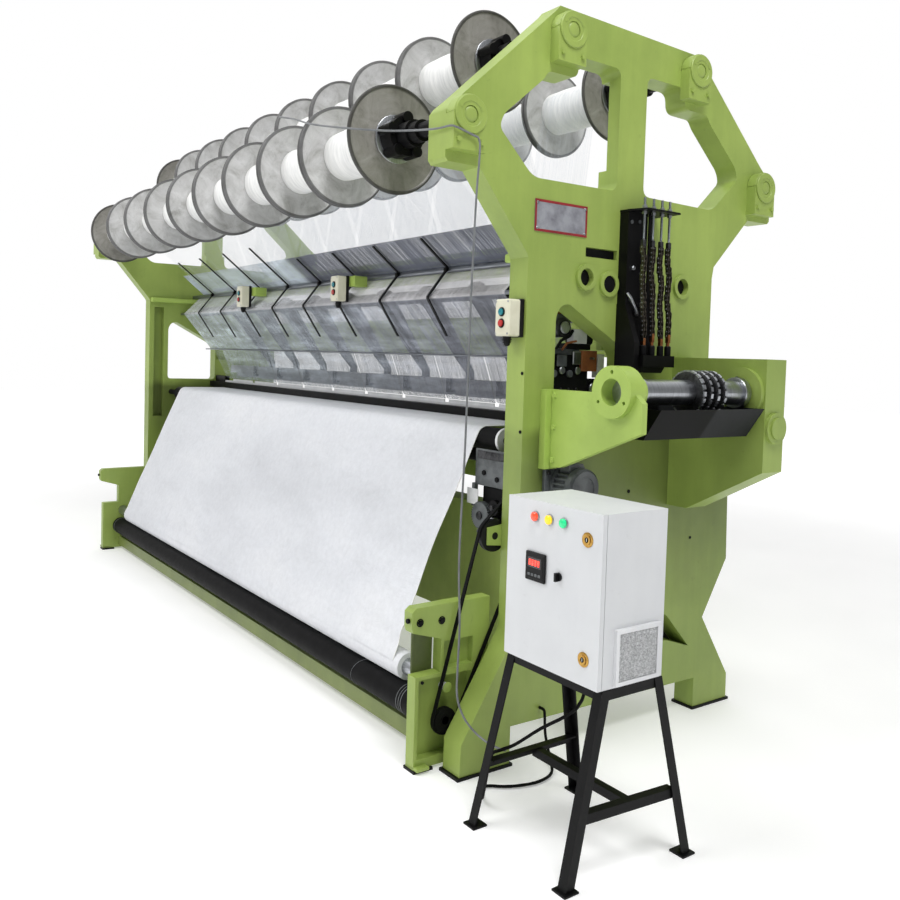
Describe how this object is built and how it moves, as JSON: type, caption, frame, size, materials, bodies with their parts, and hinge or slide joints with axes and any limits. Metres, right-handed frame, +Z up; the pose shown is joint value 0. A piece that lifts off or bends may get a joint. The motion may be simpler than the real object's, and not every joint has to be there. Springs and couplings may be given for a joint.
{
  "type": "raschel knitting machine",
  "caption": "Wide raschel warp knitting machine: green cast end frames, overhead warp spools, yarn sheets, knitting bars, white fabric take-up, pattern drum and a stand-mounted control box.",
  "frame": {"origin": "on the floor, at the middle of the overall bounding box in X and Y", "axes": "+X along the machine towards the pattern drum and control box, -Y the fabric side, +Z up"},
  "size_m": [5.7532, 2.0828, 3.117],
  "materials": {
    "green_paint": "semi-gloss lime green",
    "light_green_paint": "semi-gloss light green",
    "black_paint": "satin black",
    "dark_steel": "oiled dark steel",
    "steel": "ground",
    "aluminium": "satin",
    "yarn": "wound yarn",
    "warp_yarn": "sheet of parallel yarns",
    "fabric": "fine knitted net",
    "white_paint": "satin white",
    "grey_paint": "satin grey",
    "rubber": "matte black",
    "black_plastic": "matte",
    "enclosure_paint": "fine-textured off-white",
    "ivory_plastic": "ivory",
    "brass": "worn",
    "teal_plastic": "gloss",
    "red_plastic": "gloss",
    "grey_cable": "grey sheath"
  },
  "bodies": {
    "machine": {"side_frames": "green_paint", "arches": "green_paint", "bearing_caps": "green_paint", "frame_bolts": "dark_steel", "foot_pads": "black_paint", "cross_beams": "green_paint", "spare_beam_shaft": "black_paint", "tension_rails": "steel", "rod_supports": "black_paint", "warp_sheets": "warp_yarn", "needle_bed": "black_paint", "motor": "grey_paint", "cloth": "fabric", "takeup_brackets": "green_paint", "takeup_belt": "rubber", "drum_front_bracket": "light_green_paint", "drum_rear_bracket": "green_paint", "chain_column": "black_paint", "pattern_chains": "dark_steel", "oil_tray": "black_paint", "control_box": "enclosure_paint", "vent_grille": "ivory_plastic", "control_stand": "black_paint", "button_stations": "ivory_plastic", "hanging_cable": "grey_cable", "control_cable": "black_plastic"},
    "front_beam": {"front_beam_shaft": "black_paint", "front_spools": "aluminium", "front_yarn": "yarn"},
    "top_beam": {"top_beam_shaft": "black_paint", "top_spools": "aluminium", "top_yarn": "yarn"},
    "rear_beam": {"rear_beam_shaft": "black_paint", "rear_spools": "aluminium", "rear_yarn": "yarn"},
    "rocker": {"rocker": "dark_steel"},
    "guide_front": {"guide_bar_front": "aluminium"},
    "guide_middle": {"guide_bar_middle": "aluminium"},
    "guide_rear": {"guide_bar_rear": "aluminium"},
    "needles": {"needle_bar": "white_paint"},
    "main": {"main_shaft": "steel"},
    "takedown_upper": {"takedown_roller_upper": "rubber"},
    "takedown_lower": {"takedown_roller_lower": "rubber"},
    "roll": {"cloth_roll": "fabric"},
    "batch": {"batch_roller": "rubber"},
    "pulley": {"takeup_pulley": "black_plastic"},
    "drum": {"drum_shaft": "steel", "pattern_drum": "dark_steel"},
    "door": {"control_door": "enclosure_paint", "door_instruments": "black_plastic"},
    "lock_upper": {"door_lock_upper": "brass"},
    "lock_lower": {"door_lock_lower": "brass"},
    "knob": {"selector_knob": "black_plastic"},
    "fan": {"vent_fan": "black_plastic"},
    "start_near": {"start_button_near": "teal_plastic"},
    "stop_near": {"stop_button_near": "red_plastic"},
    "start_middle": {"start_button_middle": "teal_plastic"},
    "stop_middle": {"stop_button_middle": "red_plastic"},
    "start_far": {"start_button_far": "teal_plastic"},
    "stop_far": {"stop_button_far": "red_plastic"}
  },
  "joints": [
    {"name": "front_beam_spin", "type": "hinge", "parent": "machine", "child": "front_beam", "pos_m": [-0.3824, -0.8085, 2.487], "axis": [1, 0, 0], "continuous": true},
    {"name": "top_beam_spin", "type": "hinge", "parent": "machine", "child": "top_beam", "pos_m": [-0.3824, -0.3255, 2.898], "axis": [1, 0, 0], "continuous": true},
    {"name": "rear_beam_spin", "type": "hinge", "parent": "machine", "child": "rear_beam", "pos_m": [-0.3824, 0.4345, 2.898], "axis": [1, 0, 0], "continuous": true},
    {"name": "rocker_swing", "type": "hinge", "parent": "machine", "child": "rocker", "pos_m": [-0.3824, -0.0365, 1.938], "axis": [1, 0, 0], "range_deg": [-1.5, 1.5]},
    {"name": "guide_front_shog", "type": "slide", "parent": "rocker", "child": "guide_front", "axis": [1, 0, 0], "range_m": [-0.025, 0.025]},
    {"name": "guide_middle_shog", "type": "slide", "parent": "rocker", "child": "guide_middle", "axis": [1, 0, 0], "range_m": [-0.025, 0.025]},
    {"name": "guide_rear_shog", "type": "slide", "parent": "rocker", "child": "guide_rear", "axis": [1, 0, 0], "range_m": [-0.025, 0.025]},
    {"name": "needle_lift", "type": "slide", "parent": "machine", "child": "needles", "axis": [0, 0, 1], "range_m": [-0.008, 0.012]},
    {"name": "main_spin", "type": "hinge", "parent": "machine", "child": "main", "pos_m": [-0.3824, 0.2165, 1.15], "axis": [1, 0, 0], "continuous": true},
    {"name": "drum_spin", "type": "hinge", "parent": "machine", "child": "drum", "pos_m": [2.4276, 0.0765, 1.505], "axis": [0, 1, 0], "continuous": true},
    {"name": "batch_spin", "type": "hinge", "parent": "machine", "child": "batch", "pos_m": [-0.3824, -0.7185, 0.194], "axis": [1, 0, 0], "continuous": true},
    {"name": "roll_spin", "type": "hinge", "parent": "machine", "child": "roll", "pos_m": [-0.3824, -0.6935, 0.3119], "axis": [1, 0, 0], "continuous": true},
    {"name": "takedown_upper_spin", "type": "hinge", "parent": "machine", "child": "takedown_upper", "pos_m": [-0.3824, -0.2885, 1.262], "axis": [1, 0, 0], "continuous": true},
    {"name": "takedown_lower_spin", "type": "hinge", "parent": "machine", "child": "takedown_lower", "pos_m": [-0.3824, -0.2185, 1.19], "axis": [1, 0, 0], "continuous": true},
    {"name": "pulley_spin", "type": "hinge", "parent": "machine", "child": "pulley", "pos_m": [1.9246, -0.5045, 0.904], "axis": [1, 0, 0], "continuous": true},
    {"name": "door_hinge", "type": "hinge", "parent": "machine", "child": "door", "pos_m": [2.3571, -0.766, 0.877], "axis": [0, 0, -1], "range_deg": [0, 110]},
    {"name": "lock_upper_turn", "type": "hinge", "parent": "door", "child": "lock_upper", "pos_m": [2.7486, -0.7855, 1.063], "axis": [0, 1, 0], "range_deg": [0, 90]},
    {"name": "lock_lower_turn", "type": "hinge", "parent": "door", "child": "lock_lower", "pos_m": [2.7486, -0.7855, 0.688], "axis": [0, 1, 0], "range_deg": [0, 90]},
    {"name": "knob_turn", "type": "hinge", "parent": "door", "child": "knob", "pos_m": [2.6256, -0.7855, 0.921], "axis": [0, 1, 0], "range_deg": [-45, 45]},
    {"name": "fan_spin", "type": "hinge", "parent": "machine", "child": "fan", "pos_m": [2.7826, -0.6215, 0.7], "axis": [1, 0, 0], "continuous": true},
    {"name": "start_near_press", "type": "slide", "parent": "machine", "child": "start_near", "axis": [0, 1, 0], "range_m": [0, 0.005], "stiffness_N_per_m": 400},
    {"name": "stop_near_press", "type": "slide", "parent": "machine", "child": "stop_near", "axis": [0, 1, 0], "range_m": [0, 0.005], "stiffness_N_per_m": 400},
    {"name": "start_middle_press", "type": "slide", "parent": "machine", "child": "start_middle", "axis": [0, 1, 0], "range_m": [0, 0.005], "stiffness_N_per_m": 400},
    {"name": "stop_middle_press", "type": "slide", "parent": "machine", "child": "stop_middle", "axis": [0, 1, 0], "range_m": [0, 0.005], "stiffness_N_per_m": 400},
    {"name": "start_far_press", "type": "slide", "parent": "machine", "child": "start_far", "axis": [0, 1, 0], "range_m": [0, 0.005], "stiffness_N_per_m": 400},
    {"name": "stop_far_press", "type": "slide", "parent": "machine", "child": "stop_far", "axis": [0, 1, 0], "range_m": [0, 0.005], "stiffness_N_per_m": 400}
  ],
  "couplings": [
    {"joint": "drum_spin", "follows": "main_spin", "ratio": 0.0625},
    {"joint": "roll_spin", "follows": "batch_spin", "ratio": -1.069},
    {"joint": "takedown_upper_spin", "follows": "batch_spin", "ratio": -1.24},
    {"joint": "takedown_lower_spin", "follows": "batch_spin", "ratio": 1.24},
    {"joint": "pulley_spin", "follows": "batch_spin", "ratio": 0.76923}
  ]
}
